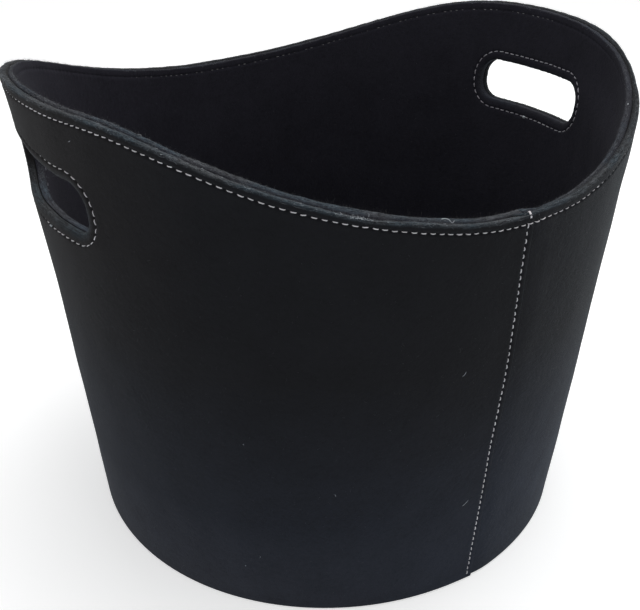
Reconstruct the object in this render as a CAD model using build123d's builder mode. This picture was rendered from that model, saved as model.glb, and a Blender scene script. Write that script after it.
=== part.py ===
from build123d import *
from math import cos, hypot, pi, sin
import os

# Felt log basket: a tapered, slightly oval tub of two felt layers with a saddle rim and two hand slots.
# Lengths in millimetres. Origin at the middle of the underside, +Z up, +X towards the right handle.

# Outer shape of the wall
crest_length = 420.0    # over the two handle ends, at the height of their crests
crest_width = 394.0     # across, at the same height
base_length = 367.0
base_width = 363.0
crest_height = 333.5    # rim at the two handle ends
valley_height = 281.0   # rim halfway between the handles

# The wall is flat sheet that bends one way only: this many strips, each almost a plain cone
wall_strips = 64

# Saddle curve of the rim: it leaves the valley level, and climbs at the crest by this lead
valley_lead_share = 0.57
crest_lead_share = 0.245
crest_lead_rise = 11.3

# Layers of the wall
outer_felt_thickness = 5.0
inner_felt_thickness = 5.0
layer_gap = 0.3

# Base, from the floor up
base_outer_felt_thickness = 5.0
base_board_thickness = 4.0
base_inner_felt_thickness = 5.0
base_fit_clearance = 0.3

# Hand slots
slot_length = 109.0
slot_height = 34.0
slot_corner_radius = 15.0
slot_drop = 60.0        # middle of the slot below the crest

# Lapped front seam of the outer felt: the left end lies over the thinned right end
seam_edge_x_at_base = 2.0
seam_edge_x_at_crest = 2.8
seam_lap = 12.0
seam_nose = 1.2         # height of the left end's cut edge over the right end
seam_fade = 14.0        # the right end rises back to the full wall over this width
seam_clearance = 1.0    # along the wall, between the two slanted ends
lining_butt_gap = 0.3

# Sewing thread, drawn as one slim line along each stitch row
thread_width = 1.1
thread_thickness = 0.9
thread_clearance = 0.3
rim_stitch_drop = 5.2   # below the rim
slot_stitch_margin = 6.0
seam_stitch_inset = 4.2  # from the lapped edge
seam_stitch_foot = 6.0  # lowest stitch above the floor

# Overrun of every cut past the material
overrun = 20.0

wall_thickness = outer_felt_thickness + layer_gap + inner_felt_thickness
board_bottom = base_outer_felt_thickness
board_top = board_bottom + base_board_thickness
floor_top = board_top + base_inner_felt_thickness
slot_middle = crest_height - slot_drop
crest_half_length = crest_length / 2
tool_half_length = crest_half_length + overrun
tool_half_width = crest_width / 2 + overrun
tool_top = crest_height + overrun

os.makedirs("parts", exist_ok=True)


def half_length_at(height):
    """Half the outer length of the tub at a height."""
    return (base_length + (crest_length - base_length) * height / crest_height) / 2


def half_width_at(height):
    """Half the outer width of the tub at a height."""
    return (base_width + (crest_width - base_width) * height / crest_height) / 2


def seam_edge_at(height):
    """Place of the lapped edge along X at a height."""
    return seam_edge_x_at_base + (seam_edge_x_at_crest - seam_edge_x_at_base) * height / crest_height


def oval_point(half_length, half_width, facing_share):
    """Point of an oval whose outward direction is this share of a turn from +X."""
    along = half_length * cos(2 * pi * facing_share)
    across = half_width * sin(2 * pi * facing_share)
    reach = hypot(along, across)
    return (half_length * along / reach, half_width * across / reach)


def plan_section(inset, height):
    """Oval of the wall at a height, drawn in from its outer face by the inset, as one arc a strip."""
    half_length = half_length_at(height) - inset
    half_width = half_width_at(height) - inset
    with BuildSketch(Plane.XY.offset(height)) as section:
        with BuildLine():
            for strip in range(wall_strips):
                ThreePointArc(
                    oval_point(half_length, half_width, strip / wall_strips),
                    oval_point(half_length, half_width, (strip + 0.5) / wall_strips),
                    oval_point(half_length, half_width, (strip + 1) / wall_strips),
                )
        make_face()
    return section.sketch


def tub(inset, bottom, top, mode=Mode.ADD):
    """Solid tub whose side lies the inset inside the outer face of the wall."""
    loft([plan_section(inset, bottom), plan_section(inset, top)], ruled=True, mode=mode)


def area_under_rim(drop):
    """Front view of everything under the saddle curve of the rim, lowered by the drop."""
    crest = crest_height - drop
    valley = valley_height - drop
    crest_lead = crest_lead_share * crest_half_length
    run_out = (tool_half_length, crest + crest_lead_rise * overrun / crest_lead)
    with BuildSketch(Plane.XZ) as area:
        with BuildLine():
            Bezier(
                (0, valley),
                (valley_lead_share * crest_half_length, valley),
                (crest_half_length - crest_lead, crest - crest_lead_rise),
                (crest_half_length, crest),
            )
            Polyline(
                (crest_half_length, crest),
                run_out,
                (tool_half_length, -overrun),
                (0, -overrun),
            )
            mirror(about=Plane.YZ)
        make_face()
    return area.sketch


def keep_under_rim(drop=0, mode=Mode.INTERSECT):
    """Trims the piece to the saddle curve of the rim, lowered by the drop."""
    extrude(area_under_rim(drop), amount=tool_half_width, both=True, mode=mode)


def slot_outline(margin):
    """Side view of a hand slot, grown by the margin all round."""
    with BuildSketch(Plane.YZ) as outline:
        with Locations((0, slot_middle)):
            RectangleRounded(
                slot_length + 2 * margin,
                slot_height + 2 * margin,
                slot_corner_radius + margin,
            )
    return outline.sketch


def cut_hand_slots():
    """Cuts both hand slots through the raised ends."""
    extrude(slot_outline(0), amount=tool_half_length, both=True, mode=Mode.SUBTRACT)


def seam_gap(height):
    """Plan of the gap between the lapped ends at a height: outside step, then the slanted slit."""
    edge = seam_edge_at(height)
    face = -half_width_at(height)
    outside = face - overrun
    nose = face + seam_nose
    inner_face = face + outer_felt_thickness
    inside = inner_face + overrun
    lap_end = edge - seam_lap
    with BuildSketch(Plane.XY.offset(height)) as gap:
        with BuildLine():
            Polyline(
                (edge, outside),
                (edge, nose),
                (lap_end, inner_face),
                (lap_end, inside),
                (lap_end + seam_clearance, inside),
                (lap_end + seam_clearance, inner_face),
                (edge + seam_clearance, nose),
                (edge + seam_fade, face),
                (edge + seam_fade, outside),
                close=True,
            )
        make_face()
    return gap.sketch


def seam_strip(inset, width, bottom, top):
    """Upright strip of the front view, the inset to the left of the lapped edge."""
    middle_at_bottom = seam_edge_at(bottom) - inset
    middle_at_top = seam_edge_at(top) - inset
    with BuildSketch(Plane.XZ) as strip:
        with BuildLine():
            Polyline(
                (middle_at_bottom - width / 2, bottom),
                (middle_at_bottom + width / 2, bottom),
                (middle_at_top + width / 2, top),
                (middle_at_top - width / 2, top),
                close=True,
            )
        make_face()
    return strip.sketch


# Outer wall felt: one strip round the tub, lapped at the front
with BuildPart() as outer_wall_felt:
    tub(0, 0, tool_top)
    tub(outer_felt_thickness, -overrun, tool_top + overrun, mode=Mode.SUBTRACT)
    keep_under_rim()
    cut_hand_slots()
    loft([seam_gap(-overrun), seam_gap(tool_top)], ruled=True, mode=Mode.SUBTRACT)

# Inner wall felt: the lining, standing on the base board, its ends butted under the stitch row
with BuildPart() as inner_wall_felt:
    tub(outer_felt_thickness + layer_gap, board_top, tool_top)
    tub(wall_thickness, -overrun, tool_top + overrun, mode=Mode.SUBTRACT)
    keep_under_rim()
    cut_hand_slots()
    butt_slit = seam_strip(seam_stitch_inset, lining_butt_gap, -overrun, tool_top)
    extrude(butt_slit, amount=tool_half_width, mode=Mode.SUBTRACT)

# Base: felt underside, stiff board and felt floor
with BuildPart() as base_outer_felt:
    tub(outer_felt_thickness + base_fit_clearance, 0, board_bottom)

with BuildPart() as base_board:
    tub(outer_felt_thickness + base_fit_clearance, board_bottom, board_top)

with BuildPart() as base_inner_felt:
    tub(wall_thickness + base_fit_clearance, board_top, floor_top)

# Room for thread: a thin shell on the outer felt and one on the lining, which every stitch row is cut from
with BuildPart() as thread_room:
    tub(-thread_clearance - thread_thickness, floor_top, tool_top)
    tub(-thread_clearance, floor_top, tool_top, mode=Mode.SUBTRACT)
    tub(wall_thickness + thread_clearance, floor_top, tool_top)
    tub(wall_thickness + thread_clearance + thread_thickness, floor_top, tool_top, mode=Mode.SUBTRACT)

# Rim thread: a line round the rim on both faces of the wall
with BuildPart() as rim_thread:
    add(thread_room.part)
    keep_under_rim(rim_stitch_drop - thread_width / 2)
    keep_under_rim(rim_stitch_drop + thread_width / 2, mode=Mode.SUBTRACT)


def handle_thread(side):
    """Line of thread round one hand slot, on both faces of the wall."""
    with BuildPart() as ring_thread:
        add(thread_room.part)
        outer_ring = slot_outline(slot_stitch_margin + thread_width / 2)
        inner_ring = slot_outline(slot_stitch_margin - thread_width / 2)
        extrude(outer_ring, amount=side * tool_half_length, mode=Mode.INTERSECT)
        extrude(inner_ring, amount=side * tool_half_length, mode=Mode.SUBTRACT)
    return ring_thread


left_handle_thread = handle_thread(-1)
right_handle_thread = handle_thread(1)

# Seam thread: the upright row beside the lapped edge, up to the rim's row
with BuildPart() as seam_thread:
    add(thread_room.part)
    seam_row = seam_strip(
        seam_stitch_inset,
        thread_width,
        floor_top + seam_stitch_foot,
        valley_height - rim_stitch_drop - thread_width,
    )
    extrude(seam_row, amount=tool_half_width, mode=Mode.INTERSECT)

nodes = {
    "outer_wall_felt": outer_wall_felt,
    "inner_wall_felt": inner_wall_felt,
    "base_outer_felt": base_outer_felt,
    "base_board": base_board,
    "base_inner_felt": base_inner_felt,
    "rim_thread": rim_thread,
    "left_handle_thread": left_handle_thread,
    "right_handle_thread": right_handle_thread,
    "seam_thread": seam_thread,
}
for node_name, piece in nodes.items():
    piece.part.label = node_name
    export_step(piece.part, f"parts/{node_name}.step")
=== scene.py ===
import math

import bmesh
import bpy
import numpy as np
from mathutils import Matrix, Vector
from mathutils.geometry import delaunay_2d_cdt


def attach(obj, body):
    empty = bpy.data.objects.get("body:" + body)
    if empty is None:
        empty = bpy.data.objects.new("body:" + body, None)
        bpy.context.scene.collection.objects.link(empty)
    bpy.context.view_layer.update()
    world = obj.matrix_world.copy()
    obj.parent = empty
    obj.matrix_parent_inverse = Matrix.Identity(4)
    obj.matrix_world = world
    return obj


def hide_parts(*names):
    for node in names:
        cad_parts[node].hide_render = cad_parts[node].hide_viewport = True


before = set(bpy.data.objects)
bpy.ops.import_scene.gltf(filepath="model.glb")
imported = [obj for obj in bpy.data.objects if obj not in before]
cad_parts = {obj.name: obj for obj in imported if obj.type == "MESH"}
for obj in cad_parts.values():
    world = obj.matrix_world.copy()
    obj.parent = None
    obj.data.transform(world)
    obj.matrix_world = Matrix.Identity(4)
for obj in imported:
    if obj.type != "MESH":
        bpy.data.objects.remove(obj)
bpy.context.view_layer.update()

# Felt log basket. Shapes are worked out in millimetres and written to meshes in metres.
MM = 0.001
TURN = 2 * math.pi

# The tub: its sizes, the depths of both felts inside the outer face, and the heights of the base
CREST_LENGTH, CREST_WIDTH = 420.0, 394.0
BASE_LENGTH, BASE_WIDTH = 367.0, 363.0
CREST_HEIGHT, VALLEY_HEIGHT = 333.5, 281.0
OUTER_FACE, OUTER_BACK = 0.0, 5.0
LINING_BACK, LINING_FACE = 5.3, 10.3
FELT = OUTER_BACK - OUTER_FACE
BOARD_TOP, FLOOR_TOP = 9.0, 14.0

# Saddle curve of the rim: its two leads as shares of half the length, and how far the upper one climbs
VALLEY_LEAD, CREST_LEAD, CREST_LEAD_RISE = 0.57, 0.245, 11.3

# Millimetres round the wall for a turn of one radian: on the flat felt, and on the triangulated pattern
FLAT_RADIUS, PATTERN_RADIUS = 195, 200

# Hand slots. Points of the wall farther out than HANDLE_X are near one of them
SLOT_HALF_LENGTH, SLOT_HALF_HEIGHT, SLOT_RADIUS = 53.6, 16.1, 14.1
SLOT_MIDDLE = CREST_HEIGHT - 60.0
HANDLE_X = 120

# Lapped seam of the outer felt. Its ends are found at the middle height
LAP, NOSE, FADE = 12.0, 1.2, 14.0
MIDDLE_HEIGHT = 150.0

# Stitch rows
RIM_DROP, SLOT_MARGIN, SEAM_INSET = 5.2, 6.9, 4.2
PITCH = 5.3
SLOT_STITCHES = 54
SEAM_LOW, SEAM_HIGH = 3.0, VALLEY_HEIGHT - 3.2
SEAM_STITCHES = 58
SEAM_PITCH = (SEAM_HIGH - SEAM_LOW) / SEAM_STITCHES
THREAD_WIDTH, THREAD_THICKNESS = 0.61, 0.55

# Heights along the seam's row and places round a slot, four to a stitch
SEAM_ROWS = np.arange(1, SEAM_STITCHES * 4) / 4 * SEAM_PITCH + SEAM_LOW
SLOT_ARCS = np.arange(SLOT_STITCHES * 4) / (SLOT_STITCHES * 4)

# A quarter of a slot: its straights along and up, and the bend of its stitch ring
SLOT_STRAIGHT = SLOT_HALF_LENGTH - SLOT_RADIUS
SLOT_UPRIGHT = SLOT_HALF_HEIGHT - SLOT_RADIUS
SLOT_BEND = math.pi / 2 * (SLOT_RADIUS + SLOT_MARGIN)


def half_length(z):
    """Half the outer length of the tub at a height."""
    return (BASE_LENGTH + (CREST_LENGTH - BASE_LENGTH) * z / CREST_HEIGHT) / 2


def half_width(z):
    """Half the outer width of the tub at a height."""
    return (BASE_WIDTH + (CREST_WIDTH - BASE_WIDTH) * z / CREST_HEIGHT) / 2


def smooth(x):
    """Soft step from zero to one as x goes from zero to one."""
    x = np.clip(x, 0, 1)
    return x * x * (3 - 2 * x)


def hump(value, middle, width):
    """Bell of height one round a middle."""
    return np.exp(-(((value - middle) / width) ** 2))


def softened(values, spread):
    """Evenly spaced values with their corners smoothed over this many neighbours each way."""
    bell = hump(np.arange(-2 * spread, 2 * spread + 1), 0, spread)
    return np.convolve(np.pad(values, 2 * spread, mode="edge"), bell / bell.sum(), mode="valid")


# The sewn seam isn't quite straight: height, and millimetres from the front to the lap edge
SEAM_BOW = np.array([
    (0, 0.3), (30, 0.5), (60, 1.2), (90, 1.6), (120, 1.3), (150, 2.9),
    (180, 3.8), (210, 3.5), (240, 1.9), (270, 0.1), (300, 0.0), (334, 0.0),
])
SEAM_HEIGHTS = np.arange(0, 336, 2.0)
SEAM_X = softened(np.interp(SEAM_HEIGHTS, SEAM_BOW[:, 0], SEAM_BOW[:, 1]), 6)


def lap_edge_x(z):
    """Place of the lap edge along X at a height."""
    return np.interp(z, SEAM_HEIGHTS, SEAM_X)


def lean(z):
    """Angle from the front to the lap edge at a height."""
    return np.arcsin(lap_edge_x(z) / half_length(z))


def wall(turn, z, depth):
    """Point of the wall: turn anticlockwise from the lap edge, height, depth inside the outer face."""
    angle = lean(z) + turn
    x = (half_length(z) - depth) * np.sin(angle)
    y = -(half_width(z) - depth) * np.cos(angle)
    return np.stack([x, y, z + 0 * x], -1)


def wall_out(turn, z):
    """Outward direction of the wall."""
    angle = lean(z) + turn
    n = np.stack(
        [np.sin(angle) / half_length(z), -np.cos(angle) / half_width(z), 0 * angle - 0.0004],
        -1,
    )
    return n / np.linalg.norm(n, axis=-1, keepdims=True)


def saddle_curve():
    """The rim as drawn, over half the length: distances from the middle, and heights."""
    half = CREST_LENGTH / 2
    u = np.linspace(0, 1, 800)
    x = 3 * u * (1 - u) ** 2 * VALLEY_LEAD * half
    x = x + 3 * u**2 * (1 - u) * (half - CREST_LEAD * half) + u**3 * half
    z = (
        VALLEY_HEIGHT * ((1 - u) ** 3 + 3 * u * (1 - u) ** 2)
        + 3 * u**2 * (1 - u) * (CREST_HEIGHT - CREST_LEAD_RISE)
        + u**3 * CREST_HEIGHT
    )
    return x, z


RIM_X, RIM_Z = saddle_curve()

# Paleness of the cut rim: degrees from the lap edge, share of the pale fluffed wool. The wool is fluffed most
# at the front left;
# the low shares at the back and right are painted shade.
RIM_FLUFF_AND_SHADE = np.array([
    (-180, 0.32), (-140, 0.33), (-120, 0.48), (-100, 0.68), (-85, 0.86), (-70, 1.0), (-1, 1.0), (0, 0.78),
    (22, 0.8), (40, 0.5), (60, 0.32), (90, 0.26), (180, 0.30),
])


def degrees_right(turn):
    """Degrees to the right of the lap edge, negative to its left."""
    return (np.degrees(turn) + 180) % 360 - 180


def rim_fluff_and_shade(turn):
    """How pale and fluffed the cut rim is, darker at the back and right with painted shade."""
    return np.interp(degrees_right(turn), RIM_FLUFF_AND_SHADE[:, 0], RIM_FLUFF_AND_SHADE[:, 1])


# The rim as it came out: degrees from the lap edge, the lining's edge over the drawn curve, and how far
# the outer felt's edge and the stitch row sit below it
RIM_MADE = np.array([
    (-180, -1.6, 0.0, 5.2), (-172, -2.0, 0.0, 5.2), (-160, -0.8, 0.0, 5.2), (-145, 0.0, 0.0, 5.2),
    (-100, 0.2, 0.0, 5.2), (-92, 0.6, 0.1, 5.1), (-86, 0.7, 0.5, 5.2), (-80, 0.8, 0.3, 5.1),
    (-74, 1.1, -0.2, 4.5), (-68, 2.9, 0.2, 4.55), (-62, 2.4, 0.3, 4.7), (-56, 0.5, -0.5, 4.1),
    (-50, 0.5, 0.9, 4.8), (-44, 0.1, 0.8, 5.3), (-38, 0.4, 0.5, 5.0), (-32, 1.3, 1.7, 5.5),
    (-26, 1.9, 2.3, 5.3), (-20, 1.4, 0.2, 4.75), (-14, 1.0, 1.1, 5.1), (-8, -0.5, 0.4, 4.7),
    (-2, 0.8, 0.6, 5.3), (4, 0.7, -0.8, 4.3), (10, 0.4, 0.0, 4.6), (16, 2.1, -0.1, 5.05),
    (22, 2.7, 0.0, 5.2), (28, 2.4, 0.0, 5.2), (34, 1.7, 0.0, 5.2), (40, 0.6, 0.0, 5.2),
    (46, -0.4, 0.0, 5.2), (54, -1.8, 0.0, 5.2), (62, -2.6, 0.0, 5.2), (70, -1.8, 0.0, 5.2),
    (80, -0.6, 0.0, 5.2), (90, 0.2, 0.0, 5.2), (104, 1.3, 0.0, 5.2), (116, 1.2, 0.0, 5.2),
    (130, 0.4, 0.0, 5.2), (150, 0.0, 0.0, 5.2), (168, -0.8, 0.0, 5.2), (180, -1.6, 0.0, 5.2),
])
ROUND = np.arange(-180, 180, 0.5)
RIM_LIFT, RIM_SLUMP, ROW_DROP = (
    softened(np.interp(ROUND, RIM_MADE[:, 0], RIM_MADE[:, column]), 6) for column in (1, 2, 3)
)

# Where the felts are pressed thin at the rim: degrees, millimetres off the lining and off the outer felt
THINNED = np.array([
    (-180, 0.3, 0.0), (-140, 0.8, 0.3), (-120, 1.9, 0.3), (-105, 2.3, 0.0), (-97, 2.1, 0.0), (-90, 1.6, 0.0),
    (-80, 1.4, 0.0), (-68, 0.9, 0.0), (-56, 0.6, 0.0), (-44, 0.0, 0.0), (34, 0.0, 0.3), (44, 0.6, 1.0),
    (50, 0.9, 2.1), (60, 1.0, 2.1), (66, 1.0, 0.9), (72, 0.8, 0.0), (90, 0.5, 0.0), (180, 0.3, 0.0),
])


def rim_z(turn):
    """Height of the rim over a place round the wall."""
    z = np.full(np.shape(turn), 300.0)
    for _ in range(6):
        x = half_length(z) * np.sin(lean(z) + turn)
        z = np.interp(np.abs(x), RIM_X, RIM_Z)
    return z + np.interp(np.degrees(turn), ROUND, RIM_LIFT, period=360)


def slump(turn):
    """How far the outer felt's edge sits below the lining's."""
    return np.interp(np.degrees(turn), ROUND, RIM_SLUMP, period=360)


def row_drop(turn):
    """How far the rim's stitch row sits below the rim."""
    return np.interp(np.degrees(turn), ROUND, ROW_DROP, period=360)


def beside_seam(turn):
    """One at the right of the seam, where the felts are squeezed together, and zero elsewhere."""
    degrees = degrees_right(turn)
    return smooth((degrees + 1) / 4) * (1 - smooth((degrees - 18) / 24))


def squeeze(turn):
    """How far the lining is pressed in, and its edge pressed down, at the right of the seam."""
    return 1.7 * beside_seam(turn)


def lining_back_sink(turn):
    """How far the back of the lining's edge sinks into the groove, more where the outer felt sits low."""
    return 0.3 + 0.5 * np.clip(slump(turn), 0, 2.5)


def from_seam(turn, z):
    """Distance along the outer face to the right of the lap edge, near the seam."""
    near = (turn + math.pi) % TURN - math.pi
    return half_length(z) * np.sin(np.clip(lean(z) + near, -1.2, 1.2)) - lap_edge_x(z)


def turn_at(distance, z):
    """Turn of the point this far to the right of the lap edge."""
    return np.arcsin((lap_edge_x(z) + distance) / half_length(z)) - lean(z)


def ripples(seed, count, turns, longest, shortest):
    """Smooth random field of about unit size over turn and height."""
    r = np.random.default_rng(seed)
    waves = []
    for _ in range(count):
        around = r.integers(turns[0], turns[1] + 1)
        upward = r.choice([-1, 1]) * TURN / r.uniform(shortest, longest)
        waves.append((around, upward, r.uniform(0, TURN)))

    def field(turn, z):
        total = 0
        for around, upward, start in waves:
            total = total + np.cos(around * turn + upward * z + start)
        return total * math.sqrt(2 / count)

    return field


bow = ripples(1, 14, (2, 9), 900, 180)
dents = ripples(2, 24, (14, 46), 160, 40)
edge_wander = ripples(4, 30, (6, 110), 400, 60)
edge_chips = ripples(5, 40, (150, 700), 60, 20)


def drift(turn, z):
    """Unevenness that both felts of the wall share, as depth: soft waves, and the places that stand out."""
    uneven = (0.15 * bow(turn, z) + 0.08 * dents(turn, z)) * smooth(z / 60)
    degrees = np.degrees(turn) % 360
    left = ((degrees - 262) / 42) ** 2
    right = ((degrees - 40) / 28) ** 2
    under = rim_z(turn) - z
    # The lip flares out, most at the left handle
    reach = 1.0 + 2.6 * np.exp(-left) + 0.5 * np.exp(-right)
    flare = reach * np.clip(1 - under / 75, 0, 1.02) ** 2
    # Bulges round the left handle, down the right front, at the left foot and under the rim at the right
    belly = 1.3 * smooth(z / 60) * (1 - smooth((z - 230) / 60)) + 0.8 * (1 - smooth(z / 70))
    bulge = 1.9 * np.exp(-2 * left - ((z - 258) / 42) ** 2)
    bulge = bulge + np.exp(-right) * belly
    bulge = bulge + 1.2 * hump(degrees, 298, 30) * (1 - smooth(z / 50))
    bulge = bulge + 2.0 * np.exp(-(((degrees - 54) / 20) ** 2) - ((under - 22) / 16) ** 2)
    ridge = 1.4 * np.exp(-np.abs(from_seam(turn, z)) / 24)
    return uneven - bulge - ridge - flare


def pinch(turn, z):
    """How far the lining's face comes out where the felts are pressed together."""
    pressed_in = squeeze(turn) + np.interp(degrees_right(turn), THINNED[:, 0], THINNED[:, 1])
    return pressed_in * np.clip(1 - (rim_z(turn) - z) / 50, 0, 1.02) ** 1.5


def tuck(turn, z):
    """How far the outer felt's face goes in where the felts are pressed together."""
    pressed_in = np.interp(degrees_right(turn), THINNED[:, 0], THINNED[:, 2])
    return pressed_in * np.clip(1 - (rim_z(turn) - z) / 28, 0, 1.02) ** 1.3


def at_rim(turn, depth):
    """Depth of a point of the cut rim, with the felts pressed thin and bent as the wall is."""
    z = rim_z(turn)
    outer_share = np.clip(1 - depth / FELT, 0, 1.1)
    inner_share = np.clip((depth - LINING_BACK) / FELT, 0, 1.1)
    return depth + outer_share * tuck(turn, z) - inner_share * pinch(turn, z) + drift(turn, z)


def rim_row_counts():
    """Turns round the rim, and the stitches of its row up to each. Their pitch varies a little."""
    turns = np.linspace(0, TURN, 14401)
    path = wall(turns, rim_z(turns) - RIM_DROP, 0)
    steps = np.linalg.norm(np.diff(path, axis=0), axis=1)
    degrees = np.degrees((turns[1:] + turns[:-1]) / 2)
    pitches = (
        PITCH
        - 0.75 * hump(degrees, 291, 13)
        - 0.55 * hump(degrees, 0, 7)
        - 0.55 * hump(degrees, 360, 7)
        + 0.13 * np.sin(np.radians(degrees * 7) + 1.0)
    )
    counts = np.concatenate([[0], np.cumsum(steps / pitches)])
    return turns, counts * (round(counts[-1]) / counts[-1])


ROW_TURNS, ROW_COUNTS = rim_row_counts()
RIM_STITCHES = int(round(ROW_COUNTS[-1]))


def rim_phase(turn):
    """Stitches of the rim's row from the lap edge to a turn."""
    whole = np.floor(turn / TURN)
    return np.interp(turn - whole * TURN, ROW_TURNS, ROW_COUNTS) + whole * RIM_STITCHES


def rim_turn(phase):
    """Turn at which the rim's row has this many stitches."""
    whole = np.floor(phase / RIM_STITCHES)
    return np.interp(phase - whole * RIM_STITCHES, ROW_COUNTS, ROW_TURNS) + whole * TURN


def slot_point(arc, offset):
    """Point (along, up) and outward direction on a hand slot's outline grown by the offset."""
    runs = [
        SLOT_UPRIGHT, SLOT_BEND, 2 * SLOT_STRAIGHT, SLOT_BEND, 2 * SLOT_UPRIGHT,
        SLOT_BEND, 2 * SLOT_STRAIGHT, SLOT_BEND, SLOT_UPRIGHT,
    ]
    knots = np.concatenate([[0], np.cumsum(runs)])
    s = (np.asarray(arc) % 1.0) * knots[-1]
    k = np.clip(np.searchsorted(knots, s, side="right") - 1, 0, 8)
    part = s - knots[k]
    along = np.zeros_like(s)
    up = np.zeros_like(s)
    angle = np.zeros_like(s)
    sides = {
        0: (0.0, lambda q: (SLOT_STRAIGHT, q)),
        2: (0.5, lambda q: (SLOT_STRAIGHT - q, SLOT_UPRIGHT)),
        4: (1.0, lambda q: (-SLOT_STRAIGHT, SLOT_UPRIGHT - q)),
        6: (1.5, lambda q: (-SLOT_STRAIGHT + q, -SLOT_UPRIGHT)),
        8: (2.0, lambda q: (SLOT_STRAIGHT, -SLOT_UPRIGHT + q)),
    }
    for i, (half_turns, place) in sides.items():
        on = k == i
        along[on], up[on] = place(part[on])
        angle[on] = half_turns * math.pi
    for i, (end, level) in enumerate([(1, 1), (-1, 1), (-1, -1), (1, -1)]):
        on = k == 2 * i + 1
        along[on], up[on] = end * SLOT_STRAIGHT, level * SLOT_UPRIGHT
        angle[on] = (i + part[on] / SLOT_BEND) * math.pi / 2
    out = np.stack([np.cos(angle), np.sin(angle)], -1)
    reach = SLOT_RADIUS + offset
    return np.stack([along, up], -1) + out * np.asarray(reach)[..., None], out


def slot_field(along, up):
    """Offset outside a hand slot's outline, and stitches along its ring."""
    total = 4 * (SLOT_STRAIGHT + SLOT_UPRIGHT + SLOT_BEND)
    past_along, past_up = np.abs(along) - SLOT_STRAIGHT, np.abs(up) - SLOT_UPRIGHT
    corner = np.hypot(np.maximum(past_along, 0), np.maximum(past_up, 0))
    outside = (past_along > 0) | (past_up > 0)
    offset = np.where(outside, corner, np.maximum(past_along, past_up)) - SLOT_RADIUS
    angle = np.arctan2(np.maximum(past_up, 0), np.maximum(past_along, 1e-9))
    on_bend = SLOT_UPRIGHT + SLOT_BEND * angle / (math.pi / 2)
    on_top = SLOT_UPRIGHT + SLOT_BEND + SLOT_STRAIGHT - np.abs(along)
    quarter = np.where(past_up <= 0, np.abs(up), np.where(past_along <= 0, on_top, on_bend))
    arc = np.where(along >= 0, quarter, total / 2 - quarter)
    arc = np.where(up >= 0, arc, total - arc)
    return offset, arc / total * SLOT_STITCHES


def right_share(offset):
    """Length of the right slot's pattern that was kept: it and its ring came out a little short."""
    return 0.975 - 0.005 * np.clip(offset, 0, 7)


def left_rise(along, up):
    """The left slot sits a little high, most at its far upper corner."""
    return 1.5 + 4.6 * smooth((along + 38) / 66) * smooth((up + 16) / 32)


def left_stretch(along):
    """How much farther round the left end the left slot reaches at its far end."""
    return 5.0 * smooth((along - 8) / 56)


def slot_height(along, up, side):
    """Height of a place on a hand slot's pattern; side is 1 for the right handle and -1 for the left."""
    return SLOT_MIDDLE + up + (left_rise(along, up) if side < 0 else 0.0)


def slot_turn(along, up, z, depth, side):
    """Turn of a point of the wall at a place on a hand slot's pattern."""
    if side > 0:
        along = along * right_share(slot_field(along, up)[0]) - 0.7
    else:
        along = along + left_stretch(along)
    swing = np.arcsin(np.clip(along / (half_width(z) - depth), -1, 1))
    return (TURN / 4 + swing if side > 0 else 3 * TURN / 4 - swing) - lean(z)


def slot_place(point, z):
    """Place on the nearest hand slot's pattern of a point of the wall."""
    x, y = point[..., 0], point[..., 1]
    along, up = y, z - SLOT_MIDDLE
    for _ in range(5):
        on_right = (y + 0.7) / right_share(slot_field(along, up)[0])
        along = np.where(x > 0, on_right, y - left_stretch(along))
        up = z - SLOT_MIDDLE - np.where(x < 0, left_rise(along, up), 0)
    return along, up


def furrow(across, phase, pitch):
    """How far a row of stitches draws the felt in: a channel with a deeper dimple at each needle hole."""
    to_hole = (phase - np.round(phase)) * pitch
    hole = hump(to_hole, 0, 0.85)
    channel = hump(across, 0, 0.9) * (0.30 + 0.60 * hole)
    puff = hump(np.abs(across), 2.1, 1.1) * (0.14 - 0.10 * hole)
    return channel - puff


def pressed(turn, z, depth, seam_row=True):
    """How far the visible face of a felt is drawn in by its stitch rows."""
    under = rim_z(turn) - z - row_drop(turn)
    share = 0.5 if depth > OUTER_BACK else 1.0
    total = furrow(under, rim_phase(turn), PITCH) * share * (np.abs(under) < 6)
    here = wall(turn, z, depth)
    offset, phase = slot_field(*slot_place(here, z))
    near_slot = (np.abs(here[..., 0]) > HANDLE_X) * (offset < 15)
    total = total + furrow(offset - SLOT_MARGIN, phase, PITCH) * near_slot
    if seam_row:
        across = from_seam(turn, z) + SEAM_INSET
        phase = (z - SEAM_LOW) / SEAM_PITCH
        fades = smooth((rim_z(turn) - z - 3.5) / 2)
        near_front = np.cos(lean(z) + turn) > 0.9
        total = total + furrow(across, phase, SEAM_PITCH) * fades * near_front * (np.abs(across) < 6)
    return total


def mesh_object(name, points, faces, material, cut=None, flat=None):
    """Mesh object from points in millimetres; cut marks cut edges, flat is the place on the flat felt."""
    mesh = bpy.data.meshes.new(name)
    mesh.from_pydata((np.asarray(points) * MM).tolist(), [], faces)
    mesh.shade_smooth()
    if cut is not None:
        layer = mesh.attributes.new("cut", "FLOAT", "POINT")
        layer.data.foreach_set("value", np.asarray(cut, dtype=np.float32))
    if flat is not None:
        layer = mesh.attributes.new("flat", "FLOAT_VECTOR", "POINT")
        layer.data.foreach_set("vector", (np.asarray(flat) * MM).astype(np.float32).ravel())
    mesh.materials.append(material)
    thing = bpy.data.objects.new(name, mesh)
    bpy.context.scene.collection.objects.link(thing)
    return thing


def pattern(turn, z):
    """Places on the flat pattern that is triangulated."""
    return np.stack([turn * PATTERN_RADIUS, z], -1)


def between(one, two, share):
    """Turns, heights and depths between two rows of points."""
    return tuple(a + (b - a) * share for a, b in zip(one[:3], two[:3]))


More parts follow.
